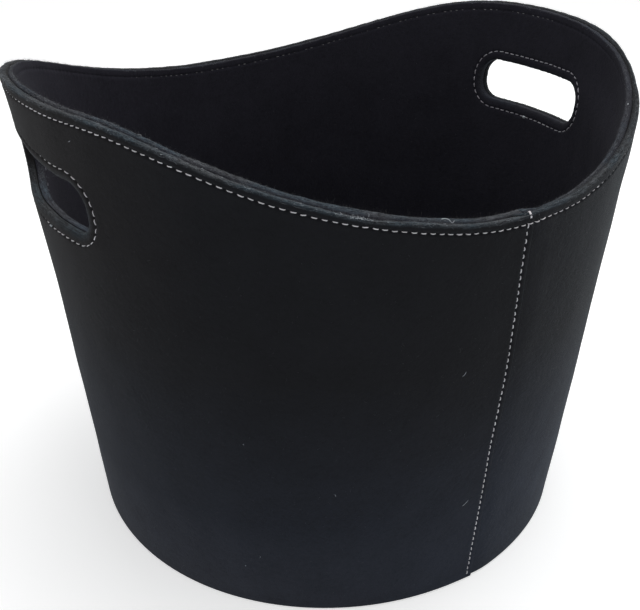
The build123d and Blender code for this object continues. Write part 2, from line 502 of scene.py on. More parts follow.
class Felt:
    """One felt of the wall: a visible face and a hidden back, joined by rounded cut edges."""

    def __init__(self, face, back, ends, bottom, lapped):
        self.face, self.back = face, back
        self.ends, self.bottom, self.lapped = ends, bottom, lapped
        self.outer = face < back
        self.inward = 1 if self.outer else -1
        # How far the edges stand above the rim, and their roundings: along the face and into the thickness
        self.rim_top, self.rim_reach, self.rim_round = (0.55, 2.0, 1.2) if self.outer else (0.2, 1.1, 0.8)
        self.slot_reach, self.slot_round = (4.9, 2.0) if self.outer else (3.6, 1.5)
        self.points, self.cuts, self.flats, self.faces = [], [], [], []
        self.total = 0

    def face_depth(self, turn, z):
        """Depth of the visible face, without the stitches."""
        depth = self.face + drift(turn, z) + (tuck(turn, z) if self.outer else -pinch(turn, z))
        if self.lapped:
            s = from_seam(turn, z)
            right = (turn < 1.0) * 1.0
            fade = NOSE * (1 - np.clip(s / FADE, 0, 1)) ** 1.5
            under = NOSE - s * (3.5 / LAP)
            depth = depth + right * np.where(s < 0, under, fade)
        return depth

    def back_depth(self, turn, z):
        """Depth of the hidden back, skived where the left end lies over the right one."""
        depth = self.back + drift(turn, z)
        if self.lapped:
            s = from_seam(turn, z)
            left = turn > 5.0
            depth = depth - left * (s > -LAP - 1) * np.clip(3.8 + (s + 1) * 3.4 / LAP, 0, 3.85)
        return depth

    def edge_drop(self, turn):
        """How far the cut edge sits below the rim."""
        return (slump(turn) if self.outer else squeeze(turn)) - self.rim_top

    def rim_edge(self, turn, depth):
        """Height of the cut edge, a little ragged."""
        z = rim_z(turn) - self.edge_drop(turn) + 0.12 * edge_wander(turn, depth * 30)
        return z + 0.03 * edge_chips(turn, depth * 9)

    def add(self, turn, z, depth, cut):
        """Adds points and returns their numbers."""
        turn, z, depth, cut = np.broadcast_arrays(turn, z, depth, cut)
        self.points.append(wall(turn, z, depth).reshape(-1, 3))
        self.cuts.append(np.asarray(cut, dtype=float).ravel())
        self.flats.append(np.stack([turn * FLAT_RADIUS, z, depth], -1).reshape(-1, 3))
        start = self.total
        self.total += turn.size
        return np.arange(start, self.total)

    def front_rows(self, place, round_in, edge_fluff_and_shade, seam_row=True):
        """Rows of points round an edge, from the face to the cut. place gives a row's turns and heights."""
        rows = []
        for angle in np.radians(np.linspace(0, 90, 7)):
            f = 1 - math.sin(angle)
            turn, z = place(f, self.face)
            press = pressed(turn, z, self.face, seam_row) * math.cos(angle)
            depth = self.face_depth(turn, z) + self.inward * (round_in * (1 - math.cos(angle)) + press)
            turn, z = place(f, depth)
            rows.append((turn, z, depth, edge_fluff_and_shade * (1 - f) ** 1.3))
        return rows

    def back_rows(self, place, round_in, edge_fluff_and_shade, edge_fluff_start, edge_fluff_fade):
        """Rows of points round an edge, from the cut to the back."""
        rows = []
        for angle in np.radians(np.linspace(90, 0, 4)):
            f = 1 - math.sin(angle)
            turn, z = place(f, self.back)
            depth = self.back_depth(turn, z) - self.inward * round_in * (1 - math.cos(angle))
            turn, z = place(f, depth)
            rows.append((turn, z, depth, edge_fluff_and_shade * max(0, edge_fluff_start - edge_fluff_fade * f)))
        return rows

    def skin(self, rows):
        """Joins rows of points by faces. Returns numbers and pattern places of the first and last row."""
        loops = [self.add(*row) for row in rows]
        for one, two in zip(loops, loops[1:]):
            self.faces += np.stack([one, np.roll(one, -1), np.roll(two, -1), two], -1).tolist()
        return [(loops[i], pattern(*rows[i][:2])) for i in (0, -1)]

    def fill(self, turn, z, depth, rim, slots, at_top):
        """Adds the points inside a face, and triangles between them, its outline and its slots."""
        inside = self.add(turn, z, depth, 0.0)
        rings = [rim] + slots
        numbers = np.concatenate([loop for loop, _ in rings] + [inside])
        places = np.concatenate([places for _, places in rings] + [pattern(turn, z)])
        edges, start = [], 0
        for loop, _ in rings:
            ring = list(range(start, start + len(loop)))
            edges += list(zip(ring, ring[1:] + ring[:1]))
            start += len(loop)
        flat = [Vector((float(p[0]), float(p[1]))) for p in places]
        _, _, triangles, origins, _, _ = delaunay_2d_cdt(flat, edges, [], 0, 1e-6, True)
        triangles = np.array([origin[0] for origin in origins])[np.array(triangles)]
        centres = np.array([(p.x, p.y) for p in flat])[triangles].mean(axis=1)
        top = rim[1][at_top]
        top = top[np.argsort(top[:, 0])]
        keep = centres[:, 1] < np.interp(centres[:, 0], top[:, 0], top[:, 1])
        for _, polygon in slots:
            keep &= ~inside_polygon(centres, polygon)
        self.faces += numbers[triangles[keep]].tolist()


def outline(ends, left, right):
    """Loop round a felt: bottom, left end, top, right end. Returns turns, shares of the height, and sides."""
    first, last = ends
    bottom = np.linspace(first, last, 215)
    quarters = np.arange(math.ceil(rim_phase(first) * 4 + 0.7), math.floor(rim_phase(last) * 4 - 0.7) + 1)
    top = np.concatenate([[last], rim_turn(quarters / 4)[::-1], [first]])
    turn = np.concatenate([bottom, np.full(len(left), last), top, np.full(len(right), first)])
    share = np.concatenate([np.zeros(len(bottom)), left, np.ones(len(top)), right[::-1]])
    side = np.zeros(len(turn))
    side[turn == last] = 1
    side[turn == first] = -1
    return turn, share, side


def cut_edges(felt):
    """Rounds the bottom, ends and top of a felt. Returns its outer loops, the turns, and which are on top."""
    shares = (SEAM_ROWS - felt.bottom) / (VALLEY_HEIGHT - felt.bottom)
    rows = shares[(shares > 0.02) & (shares < 0.975)]
    coarse = np.linspace(0, 1, 48)[1:-1]
    turn, share, side = outline(felt.ends, rows, coarse if felt.lapped else rows)
    at_top, at_foot = share == 1, share == 0

    # Share of the pale cut colour: fluffed wool on top, most at the front left, and painted shade darkening
    # the rim at the back and right
    fluff_and_shade = np.where(at_top, rim_fluff_and_shade(np.where(side > 0, turn - 0.02, turn)), 0.8)
    middle = np.full(turn.shape, MIDDLE_HEIGHT)
    room = np.abs(felt.back_depth(turn, middle) - felt.face_depth(turn, middle))
    front_round = np.minimum(np.where(at_top, felt.rim_round, np.where(at_foot, 1.0, 0.55)), room * 0.45)
    back_round = np.minimum(1.15, room * 0.3)
    around = np.degrees(turn) % 360
    at_handles = hump(around, 262, 14) + hump(around, 70, 26)
    back_reach = 2.1 - (squeeze(turn) + 1.2 * at_handles * (1 - beside_seam(turn)))
    back_sink = 0.3 if felt.outer else lining_back_sink(turn)

    def drawn_in(f, depth, scale, rim_reach):
        """The outline drawn in by the share f of its roundings, at a depth."""
        t = turn - side * 0.7 * f * scale / FLAT_RADIUS
        low = felt.bottom + 1.3 * f * scale
        return t, low + (felt.rim_edge(t, depth) - rim_reach - low) * share

    front = felt.front_rows(lambda f, depth: drawn_in(f, depth, 1, felt.rim_reach * f), front_round, fluff_and_shade)
    back = felt.back_rows(
        lambda f, depth: drawn_in(f, depth, 0.6, back_sink + back_reach * f), back_round, fluff_and_shade, 0.55, 1.4
    )
    across = []
    for w in (0.33, 0.66):
        t, z, depth = between(front[-1], back[0], w)
        dome = 0.22 * 4 * w * (1 - w)
        z = z + np.where(at_top, dome, 0) - np.where(at_foot, dome, 0)
        z = z + np.where(at_top, 0.05 * edge_chips(turn, 40 * w), 0)
        across.append((t, z, depth, fluff_and_shade))
    return felt.skin(front + across + back), turn, at_top


def slot_edges(felt, handle):
    """Rounds the edge of a hand slot. Returns its loops on the face and on the back."""
    along, up = slot_point(SLOT_ARCS, 0 * SLOT_ARCS)[0].T
    # The left slot's cut edge is pale except at its far upper end, where painted shade darkens it; the right
    # slot's is darker all round
    shaded = smooth((along - 12) / 25) * smooth((up + 14) / 12)
    edge_fluff_and_shade = np.full(SLOT_ARCS.shape, 0.28) if handle > 0 else 0.7 - 0.6 * shaded
    wander = edge_wander(SLOT_ARCS * TURN, 50.0 * handle)

    def grown(offset, depth):
        along, up = slot_point(SLOT_ARCS, offset)[0].T
        z = slot_height(along, up, handle)
        return slot_turn(along, up, z, depth, handle), z

    def on_face(f, depth):
        return grown(felt.slot_reach * f + 0.10 * wander * (1 - f), depth)

    front = felt.front_rows(on_face, felt.slot_round, edge_fluff_and_shade, False)
    back = felt.back_rows(lambda f, depth: grown(0.95 * f, depth), 0.7, edge_fluff_and_shade, 0.75, 0.7)
    across = [(*between(front[-1], back[0], w), edge_fluff_and_shade) for w in (0.33, 0.66)]
    return felt.skin(front + across + back)


def face_places(felt, top_turns):
    """Places inside the visible face: close along the stitch rows and the lap, wide apart elsewhere."""
    first, last = felt.ends
    turns, heights = [], []
    for below in (2.9, 2.0, 1.25, 0.8, 0.4, 0.1, -0.2, -0.55, -0.9, -1.3, -1.9, -2.8, -4.3, -7.0):
        t = top_turns if below > -4 else top_turns[:: 2 if below > -5 else 4]
        scale = 1
        if felt.outer and below > 0:
            to_edge = row_drop(t) - felt.rim_reach - felt.edge_drop(t) - 0.25
            scale = np.minimum(1, to_edge / 3.2)
        turns.append(t)
        heights.append(rim_z(t) - row_drop(t) + below * scale)
    for handle in (1, -1):
        for offset in (4.6, 5.1, 5.6, 6.0, 6.35, 6.65, 6.9, 7.2, 7.55, 7.95, 8.5, 9.5, 11.5, 14.5):
            if offset < felt.slot_reach + 0.3:
                continue
            some = SLOT_ARCS if offset < 9 else SLOT_ARCS[:: 2 if offset < 10 else 3]
            along, up = slot_point(some, offset)[0].T
            z = slot_height(along, up, handle)
            turns.append(slot_turn(along, up, z, felt.face, handle))
            heights.append(z)
    zs = SEAM_ROWS[(SEAM_ROWS > felt.bottom + 5) & (SEAM_ROWS < VALLEY_HEIGHT - 13.5)]
    for end, whole in [(last, 1)] if felt.lapped else [(last, 1), (first, 0)]:
        edge = from_seam(end, MIDDLE_HEIGHT)
        for across in (-3.4, -2.3, -1.6, -1.05, -0.55, 0.0, 0.5, 0.95, 1.45, 2.1, 2.9, 4.0):
            s = across - SEAM_INSET
            if (s <= edge - 1.2 and across <= 2.5) if whole else s >= edge + 1.2:
                turns.append(turn_at(s, zs) + TURN * whole)
                heights.append(zs)
    if felt.lapped:
        zs = np.arange(4.0, VALLEY_HEIGHT - 14, 5.5)
        for s in (-8.0, -4.0, -1.5, -0.3, 0.6, 1.6, 3.0, 5.0, 7.5, 10.5, 14.0, 18.0):
            turns.append(turn_at(s, zs))
            heights.append(zs)
    lattice = lattice_points(felt, felt.face, 6.0)
    return np.concatenate(turns + [lattice[:, 0]]), np.concatenate(heights + [lattice[:, 1]])


def felt_wall(name, material, felt):
    """Mesh of one felt of the wall with its stitch furrows, hand slots and rounded cut edges."""
    rims, turn, at_top = cut_edges(felt)
    slots = [slot_edges(felt, handle) for handle in (1, -1)]
    t, z = face_places(felt, turn[at_top][1:-1])
    depth = felt.face_depth(t, z) + felt.inward * pressed(t, z, felt.face)
    felt.fill(t, z, depth, rims[0], [loops[0] for loops in slots], at_top)
    t, z = lattice_points(felt, felt.back, 14.0).T
    felt.fill(t, z, felt.back_depth(t, z), rims[1], [loops[1] for loops in slots], at_top)

    points, cuts, flats = (np.concatenate(part) for part in (felt.points, felt.cuts, felt.flats))
    piece = mesh_object(name, points, felt.faces, material, cuts, flats)
    turn_faces_out(piece)
    return piece


def lattice_points(felt, depth, spacing):
    """Even spread of places over a felt, clear of its edges and stitch rows."""
    first, last = felt.ends
    margin = 0.75 * spacing
    rows = np.arange(felt.bottom + 1.3 + margin, CREST_HEIGHT - 12, spacing * 0.87)
    columns = int((last - first) * FLAT_RADIUS / spacing)
    found = []
    for i, height in enumerate(rows):
        turn = first + (np.arange(columns) + (0.25 if i % 2 else 0.75)) * (last - first) / columns
        z = np.full(turn.shape, height)
        here = wall(turn, z, depth)
        offset, _ = slot_field(*slot_place(here, z))
        s = from_seam(turn, z)
        front = np.cos(lean(z) + turn) > 0.9
        keep = rim_z(turn) - height > 12.2 + margin
        keep &= (offset > 14.5 + margin) | (np.abs(here[:, 0]) < HANDLE_X)
        keep &= ~(front & (s > -SEAM_INSET - 3.4 - margin) & (s < 18 + margin))
        found.append(np.stack([turn[keep], z[keep]], -1))
    return np.concatenate(found)


def inside_polygon(points, polygon):
    """Which points lie inside a polygon."""
    x, y = points[:, 0][:, None], points[:, 1][:, None]
    x0, y0 = polygon[:, 0][None], polygon[:, 1][None]
    x1, y1 = np.roll(polygon[:, 0], -1)[None], np.roll(polygon[:, 1], -1)[None]
    low = (x[:, 0] > polygon[:, 0].min()) & (x[:, 0] < polygon[:, 0].max())
    result = np.zeros(len(points), dtype=bool)
    px, py = x[low], y[low]
    crosses = ((y0 > py) != (y1 > py)) & (px < (x1 - x0) * (py - y0) / (y1 - y0 + 1e-12) + x0)
    result[low] = crosses.sum(axis=1) % 2 == 1
    return result


def turn_faces_out(piece):
    """Makes all faces of a closed piece look outwards."""
    shape = bmesh.new()
    shape.from_mesh(piece.data)
    bmesh.ops.recalc_face_normals(shape, faces=shape.faces)
    shape.to_mesh(piece.data)
    shape.free()


def swept(paths, outs, widths, thicknesses, sides=10, plies=0, twist=0.0):
    """Points and faces of closed tubes, all with as many points. outs are the ways away from the felt."""
    paths, outs = np.asarray(paths, dtype=float), np.asarray(outs, dtype=float)
    count, n, _ = paths.shape
    ahead = np.gradient(paths, axis=1)
    ahead /= np.linalg.norm(ahead, axis=-1, keepdims=True)
    across = np.cross(ahead, outs)
    across /= np.linalg.norm(across, axis=-1, keepdims=True)
    lift = np.cross(across, ahead)
    angles = np.arange(sides) / sides * TURN
    steps = np.linalg.norm(np.diff(paths, axis=1), axis=-1)
    run = np.concatenate([np.zeros((count, 1)), np.cumsum(steps, axis=1)], axis=1)
    lobes = 1 + (0.13 * np.cos(plies * (angles[None, None] - twist * run[..., None])) if plies else 0)
    w = np.asarray(widths)[..., None] / 2 * lobes * np.cos(angles)
    h = np.asarray(thicknesses)[..., None] / 2 * lobes * np.sin(angles)
    rings = paths[:, :, None] + across[:, :, None] * w[..., None] + lift[:, :, None] * h[..., None]
    numbers = np.arange(count * n * sides).reshape(count, n, sides)
    a, b = numbers[:, :-1], numbers[:, 1:]
    quads = np.stack([a, np.roll(a, -1, 2), np.roll(b, -1, 2), b], -1).reshape(-1, 4)
    caps = np.concatenate([numbers[:, 0, ::-1], numbers[:, -1]])
    return rings.reshape(-1, 3), quads.tolist() + caps.tolist()


def joined(parts):
    """One list of points and faces from several."""
    points, faces, start = [], [], 0
    for p, f in parts:
        points.append(p)
        faces += [[i + start for i in face] for face in f]
        start += len(p)
    return np.concatenate(points), faces


def stitches(place, count, cover, face_outward, seed, width=THREAD_WIDTH, sunk=0.0, uneven=0.04):
    """Row of separate stitches. place gives turn and height for a stitch number and a distance across."""
    r = np.random.default_rng(seed)
    u = np.linspace(-1, 1, 10)
    length = cover + r.uniform(-0.05, 0.05, (count, 1))
    middle = np.arange(count)[:, None] + 0.5 + r.uniform(-0.035, 0.035, (count, 1))
    phase = middle + u * length / 2
    slant = r.normal(0.07, 0.08, (count, 1))
    across = slant * u + r.normal(0, 0.07, (count, 1))
    across = across + 0.05 * np.sin(u * 2.5 + r.uniform(0, TURN, (count, 1)))
    turn, z = place(phase, across)
    high = 0.06 - np.reshape(sunk, (-1, 1)) - np.abs(r.normal(0, uneven, (count, 1)))
    width = np.reshape(width, (-1, 1))
    height = high - 1.1 * np.abs(u) ** 5 - 0.10 * u**2
    face = OUTER_FACE + tuck(turn, z) if face_outward else LINING_FACE - pinch(turn, z)
    sign = 1 if face_outward else -1
    path = wall(turn, z, face + drift(turn, z) - sign * height)
    outs = sign * wall_out(turn, z)
    swell = 1 - 0.35 * np.abs(u) ** 4
    fat = r.normal(1.0, 0.06, (count, 1)) * np.where(r.random((count, 1)) < 0.03, 1.3, 1.0)
    thickness = width * THREAD_THICKNESS / THREAD_WIDTH
    return swept(path, outs, width * swell * fat, thickness * swell * fat, 10, 3, 1.5)


def rim_row(phase, across):
    """Turn and height on the rim's row."""
    turn = rim_turn(phase)
    return turn, rim_z(turn) - row_drop(turn) + across


def seam_row(phase, across):
    """Turn and height on the seam's row."""
    z = SEAM_LOW + phase * SEAM_PITCH
    return turn_at(across - SEAM_INSET, z) + TURN, z


def lining_seam_row(phase, across):
    """Turn and height on the seam's row inside, which starts four stitches up, above the floor."""
    return seam_row(phase + 4, across)


def slot_row(side, depth):
    """Gives turn and height on the ring round a hand slot."""

    def place(phase, across):
        spot, _ = slot_point(phase / SLOT_STITCHES, SLOT_MARGIN + across)
        along, up = spot[..., 0], spot[..., 1]
        z = slot_height(along, up, side)
        return slot_turn(along, up, z, depth, side), z

    return place


def strand(points, outs, width, fade=0.6):
    """A loose piece of thread along a few points."""
    points = np.asarray(points, dtype=float)
    t = np.linspace(0, len(points) - 1, 14)
    k = np.clip(t.astype(int), 0, len(points) - 2)
    padded = np.concatenate([[2 * points[0] - points[1]], points, [2 * points[-1] - points[-2]]])
    f = (t - k)[:, None]
    a, b, c, d = padded[k], padded[k + 1], padded[k + 2], padded[k + 3]
    bent = (2 * a - 5 * b + 4 * c - d) * f**2
    path = 0.5 * (2 * b + (c - a) * f + bent + (3 * b - a - 3 * c + d) * f**3)
    taper = np.minimum(1, fade + 3 * np.minimum(t, t[-1] - t))
    out = np.broadcast_to(outs, path.shape)[None]
    return swept(path[None], out, (width * taper)[None], (width * 0.85 * taper)[None], 10, 3, 1.5)


def top_point(turn, depth, lift=0.0):
    """Point on the cut top edge of the rim."""
    low = slump(turn) if depth < OUTER_BACK else 0
    return wall(turn, rim_z(turn) + 0.5 - low + lift, at_rim(turn, depth))


UPWARDS = np.array([0, 0, 1.0])

# The seam's last stitch: depth, drop below the rim, and millimetres along from the lap edge
OVER_RIM = (
    (5.3, 1.5, -0.6), (4.9, 0.4, -0.8), (4.0, -0.1, -1.3), (2.9, -0.1, -1.9),
    (1.9, 0.0, -2.5), (1.1, 0.3, -2.9), (0.5, 0.9, -3.1), (0.2, 2.0, -3.2),
)


def over_the_rim():
    """The seam's last stitch: two strands side by side, over the outer felt's edge and down behind it."""
    found = []
    for shift in (-0.30, 0.30):
        points = []
        for depth, drop, along in OVER_RIM:
            z = rim_z(0.0) + 0.3 - drop
            turn = turn_at(shift + along, z)
            points.append(wall(turn, z, depth + drift(turn, z)))
        ups = np.linspace(0, 1, 14)[:, None]
        out = (1 - ups) * np.array([0, 0.2, 1.0]) + ups * np.array([0, -1.0, 0.25])
        found.append(strand(points, out, 0.70))
    return joined(found)


def lint():
    """Odd bits of white thread and fluff on the rim and the outer face, and the knots of the handle rows."""
    found = []

    def on_rim(degrees, depth, route, width):
        """Strand on the cut rim along a route of millimetres round, inwards and up."""
        turns = [math.radians(degrees) + along / PATTERN_RADIUS for along, _, _ in route]
        points = [top_point(turn, depth + across, lift) for turn, (_, across, lift) in zip(turns, route)]
        found.append(strand(points, UPWARDS, width))

    # Curls on the rim: degrees, depth, route as millimetres along and inwards, width
    curls = [
        (-14.8, 6.8, [(-2.9, 0.4), (-1.3, 1.4), (0.1, 1.1), (1.0, -0.6), (2.2, -1.9), (3.6, -1.7)], 0.42),
        (-31.0, 3.2, [(-0.3, 1.6), (-0.2, 0.5), (0.0, -0.8), (0.7, -1.2)], 0.22),
        (-61.0, 8.8, [(-1.2, 0.0), (0.0, 0.6), (1.1, 0.2)], 0.16),
        (41.5, 8.4, [(-0.5, 0.1), (0.0, 0.2), (0.5, 0.0)], 0.55),
    ]
    for degrees, depth, route, width in curls:
        on_rim(degrees, depth, [(a, b, 0.2 + 0.2 * math.sin(2.1 * a)) for a, b in route], width)

    # Pilled wool on the rim's outer edge
    r = np.random.default_rng(71)
    for k in range(60):
        degrees = r.normal(-28.3, 0.95) if k < 34 else r.uniform(-72, -2)
        depth = r.uniform(0.3, 4.4)
        ways = np.cumsum(r.normal(0, 0.42, (5, 2)), axis=0)
        route = [(a, b, 0.05 + 0.25 * r.random()) for a, b in ways]
        on_rim(degrees, depth, route, r.uniform(0.07, 0.13))

    # Specks on the outer face: degrees from the front, height, length
    specks = [
        (-31.6, 105, 1.9), (-9.1, 185, 3.4), (-4.7, 77, 5.0), (-48.0, 141, 1.5), (-46.8, 45, 1.4),
        (-50.1, 34, 0.9), (-73.7, 318, 1.9), (120.0, 90, 1.1), (200.0, 160, 0.9), (165.0, 60, 1.2),
    ]
    for degrees, z, length in specks:
        turn = math.radians(degrees) - lean(z)
        out = wall_out(turn, z)
        here = wall(turn, z, OUTER_FACE + drift(turn, z)) + out * 0.08
        way = r.normal(0, 1, (2, 3))
        way -= (way @ out)[:, None] * out
        way *= length / 2 / np.linalg.norm(way, axis=1, keepdims=True)
        found.append(strand([here - way[0], here, here + 0.6 * way[0] + 0.5 * way[1]], out, 0.2))

    # Knots under the slots: handle, place along, width, depth
    for side, along, width, depth in ((1, 2.0, 1.9, LINING_FACE), (-1, -6.0, 1.15, OUTER_FACE)):
        up = -SLOT_HALF_HEIGHT - SLOT_MARGIN
        z = slot_height(along, up, side)
        points = []
        for step in (-1.1, -0.4, 0.4, 1.1):
            turn = slot_turn(along + step, up, z, depth, side)
            lift = 0.45 if depth > OUTER_BACK else -0.25
            points.append(wall(turn, z, depth + drift(turn, z) + lift))
        found.append(strand(points, wall_out(slot_turn(along, up, z, depth, side), z), width, 0.45))
    return found


def fibres(outward, seed):
    """Loose wool fibres: thick along the rim's and the two hand slots' cut edges, thin on the face."""
    r = np.random.default_rng(seed)
    sign = 1 if outward else -1
    low, high = (0.3, 4.7) if outward else (5.6, 10.0)
    groups = []

    def grow(root, along, away, length, lift):
        """Curved fibres from their roots, partly along the felt and partly away from it."""
        count = len(root)
        u = np.linspace(0, 1, 5)[None, :, None]
        length = length * r.lognormal(0, 0.45, (count, 1, 1))
        lift = np.clip(r.normal(lift, 0.28, (count, 1, 1)), 0.02, 1.0)
        curl = r.normal(0, 0.55, (count, 1, 3))
        ahead = along[:, None] * (1 - lift) + away[:, None] * lift
        path = root[:, None] + length * (ahead * u + curl * u**2 * 0.5)
        path = path - away[:, None] * 0.15 * (1 - u)
        width = r.uniform(0.045, 0.085, (count, 1)) * (1 - 0.5 * u[..., 0])
        outs = np.broadcast_to(np.cross(ahead, r.normal(0, 1, (count, 1, 3))), path.shape)
        groups.append(swept(path, outs, width, width, 3))

    def directions(count):
        """Random directions."""
        spin = r.normal(0, 1, (count, 3))
        return spin / np.linalg.norm(spin, axis=1, keepdims=True)

    # Top of the rim
    count = 5200
    turn = r.uniform(0, TURN, count)
    on_cut = r.random(count) < 0.5
    depth = np.where(on_cut, r.uniform(low, high, count), r.choice([low - 0.2, high + 0.2], count))
    top = rim_z(turn) + 0.35 - (slump(turn) if outward else squeeze(turn))
    root = wall(turn, top, at_rim(turn, depth))
    grow(root, directions(count), np.tile(UPWARDS, (count, 1)), 1.2, 0.45)

    # Edges of the hand slots
    for side in (1, -1):
        count = 700
        place, out = slot_point(r.random(count), np.full(count, 0.15))
        z = slot_height(place[:, 0], place[:, 1], side)
        depth = r.uniform(low, high, count)
        turn = slot_turn(place[:, 0], place[:, 1], z, depth, side)
        root = wall(turn, z, depth + drift(turn, z))
        inward = np.stack([0 * z, -out[:, 0], -out[:, 1]], -1)
        grow(root, directions(count), inward, 0.9, 0.4)

    # The face itself
    count = 5000
    z = r.uniform(3 if outward else FLOOR_TOP + 2, VALLEY_HEIGHT, count)
    turn = r.uniform(0, TURN, count)
    here = wall(turn, z, low)
    offset, _ = slot_field(*slot_place(here, z))
    keep = (offset > 4) | (np.abs(here[:, 0]) < HANDLE_X)
    turn, z = turn[keep], z[keep]
    face = OUTER_FACE if outward else LINING_FACE
    root = wall(turn, z, face + drift(turn, z) - (0 if outward else 1) * pinch(turn, z))
    grow(root, directions(len(turn)), sign * wall_out(turn, z), 1.0, 0.14)
    return groups


def tufts(seed):
    """Fluffed wool lying along the cut edges of the rim, most at the front left."""
    r = np.random.default_rng(seed)
    count = 2600
    degrees = np.where(r.random(count) < 0.55, r.uniform(-100, 0, count), r.uniform(-180, 180, count))
    depth = r.choice([0.5, 1.8, 3.1, 6.9, 8.5, 10.3], count, p=[0.14, 0.24, 0.2, 0.13, 0.14, 0.15])
    depth = depth + r.normal(0, 0.45, count)
    u = np.linspace(-1, 1, 6)[None]
    length = r.lognormal(0.35, 0.5, (count, 1))
    turn = np.radians(degrees)[:, None] + u * length / (2 * FLAT_RADIUS)
    depth = depth[:, None] + r.normal(0, 0.35, (count, 1)) * u + r.normal(0, 0.25, (count, 1)) * u**2
    middle = (OUTER_BACK + LINING_BACK) / 2
    sunk = np.where(depth > middle, squeeze(turn) - 0.4, slump(turn) - 0.65)
    sunk = sunk + lining_back_sink(turn) * np.clip((10 - depth) / 5, 0, 1) * (depth > middle)
    edge = 1.5 * np.clip((0.9 - depth) / 0.9, 0, 1) ** 1.5 + 1.0 * np.clip((depth - 9.4) / 0.9, 0, 1.2) ** 1.5
    groove = 1.4 * hump(depth, middle, 0.9)
    lift = 0.12 + np.abs(r.normal(0, 0.28, (count, 1))) * u**2
    z = rim_z(turn) - sunk - edge - groove + lift
    path = wall(turn, z, at_rim(turn, depth))
    outs = np.broadcast_to(UPWARDS, path.shape) + r.normal(0, 0.3, (count, 1, 3))
    width = r.uniform(0.06, 0.13, (count, 1)) * (1.05 - 0.7 * np.abs(u))
    return swept(path, outs, width, width, 4)


def dress(piece, node):
    """Puts a piece in the place of a node of the assembly."""
    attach(piece, "root")
    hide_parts(node)


def make_piece(name, node, slot, material, *shapes):
    """Makes one piece of some shapes, and puts it in the place of a node."""
    dress(mesh_object(name, *joined(shapes), material), node)


class Nodes:
    """Short way to write a material's nodes."""

    def __init__(self, name):
        self.material = bpy.data.materials.new(name)
        self.material.use_nodes = True
        self.tree = self.material.node_tree
        self.shader = self.tree.nodes["Principled BSDF"]

    def new(self, kind, *values):
        """New node with some of its sockets connected or set."""
        node = self.tree.nodes.new(kind)
        for value in values:
            self.put(node, value)
        return node

    def set(self, **values):
        """Sets inputs of the shader."""
        for key, value in values.items():
            self.shader.inputs[key.replace("_", " ")].default_value = value

    def put(self, node, value):
        """Connects or sets one socket."""
        socket, value = value
        if isinstance(value, bpy.types.NodeSocket):
            self.tree.links.new(value, node.inputs[socket])
        else:
            node.inputs[socket].default_value = value

    def attribute(self, name, output):
        node = self.new("ShaderNodeAttribute")
        node.attribute_name = name
        return node.outputs[output]

    def noise(self, where, scale, detail=3.0, rough=0.55, distortion=0.0):
        values = (("Vector", where), ("Scale", scale), ("Detail", detail), ("Roughness", rough))
        return self.new("ShaderNodeTexNoise", *values, ("Distortion", distortion)).outputs["Fac"]

    def mapped(self, where, scale, angle):
        """Place turned by an angle and then stretched."""
        node = self.new("ShaderNodeMapping")
        node.vector_type = "TEXTURE"
        self.put(node, ("Vector", where))
        self.put(node, ("Scale", scale))
        self.put(node, ("Rotation", (0, 0, math.radians(angle))))
        return node.outputs[0]

    def math(self, operation, *values):
        node = self.new("ShaderNodeMath", *enumerate(values))
        node.operation = operation
        return node.outputs[0]

    def product(self, first, *others):
        for other in others:
            first = self.math("MULTIPLY", first, other)
        return first

    def weighted(self, *pairs):
        """Sum of values times their weights."""
        total = self.math("MULTIPLY", *pairs[0])
        for value, weight in pairs[1:]:
            total = self.math("ADD", total, self.math("MULTIPLY", value, weight))
        return total

    def ranged(self, value, low, high, out_low=0.0, out_high=1.0):
        values = (("Value", value), ("From Min", low), ("From Max", high), ("To Min", out_low))
        return self.new("ShaderNodeMapRange", *values, ("To Max", out_high)).outputs[0]

    def mix(self, share, one, two):
        node = self.new("ShaderNodeMix")
        node.data_type = "RGBA"
        for value in ((0, share), (6, one), (7, two)):
            self.put(node, value)
        return node.outputs[2]

    def bump(self, height, distance, strength=1.0, under=None):
        node = self.new("ShaderNodeBump", ("Height", height), ("Distance", distance), ("Strength", strength))
        if under is not None:
            self.put(node, ("Normal", under))
        return node.outputs[0]

    def finish(self, color, normal):
        """The material, with its colour and surface."""
        self.put(self.shader, ("Base Color", color))
        self.put(self.shader, ("Normal", normal))
        return self.material


def tinted(color, tint):
    """Colour times a tint, either one number or three."""
    return tuple(np.multiply(color, tint).tolist()) + (1,)


